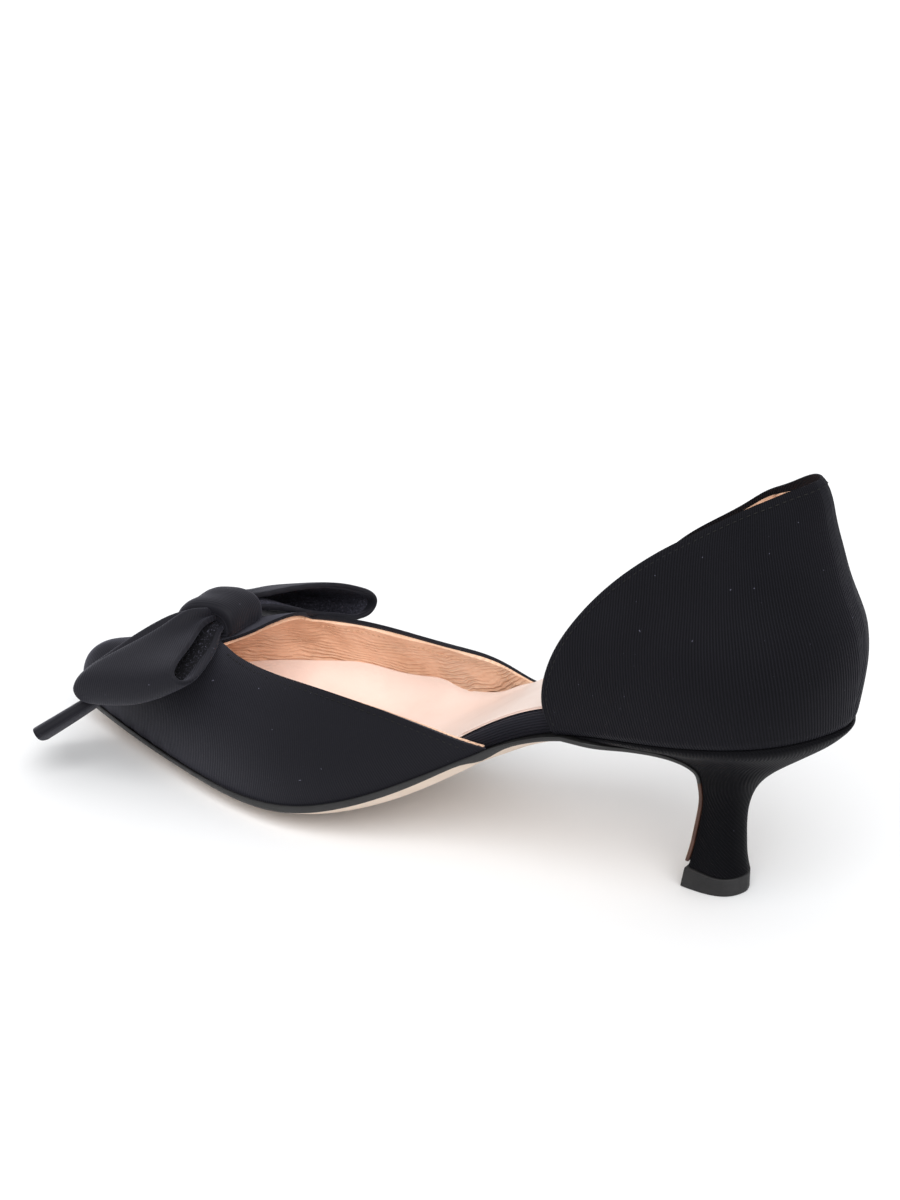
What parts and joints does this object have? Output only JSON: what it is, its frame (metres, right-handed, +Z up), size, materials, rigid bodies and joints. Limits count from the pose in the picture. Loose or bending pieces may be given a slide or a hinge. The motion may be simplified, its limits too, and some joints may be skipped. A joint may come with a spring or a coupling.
{
  "type": "kitten heel pump",
  "caption": "Pointed kitten heel pump in black ribbed fabric with an open waist, a ribbon bow at the throat, a pale leather sock, a tan leather sole and a slim covered heel.",
  "frame": {"origin": "on the floor under the middle of the whole box; heel and forefoot both stand on this plane", "axes": "+X towards the toe, +Y to the left side of the shoe, +Z up"},
  "size_m": [0.2614, 0.1106, 0.1273],
  "materials": {
    "faille": "black ribbed faille, matt with a faint sheen along the ribs",
    "lining_leather": "thin tan lining leather, finely wrinkled, satin",
    "sock_leather": "pale pink-beige sock leather, smooth, satin",
    "sole_leather": "tan sole leather with a black painted edge, satin",
    "top_piece_rubber": "dark grey rubber, matt"
  },
  "bodies": {
    "root": {"upper_vamp": "faille", "upper_counter": "faille", "insole_board": "faille", "insole_sock": "sock_leather", "outsole": "sole_leather", "heel": "faille", "heel_top_piece": "top_piece_rubber", "bow_knot": "faille", "bow_loop_left": "faille", "bow_loop_right": "faille", "bow_tail_left": "faille", "bow_tail_right": "faille"}
  },
  "joints": []
}
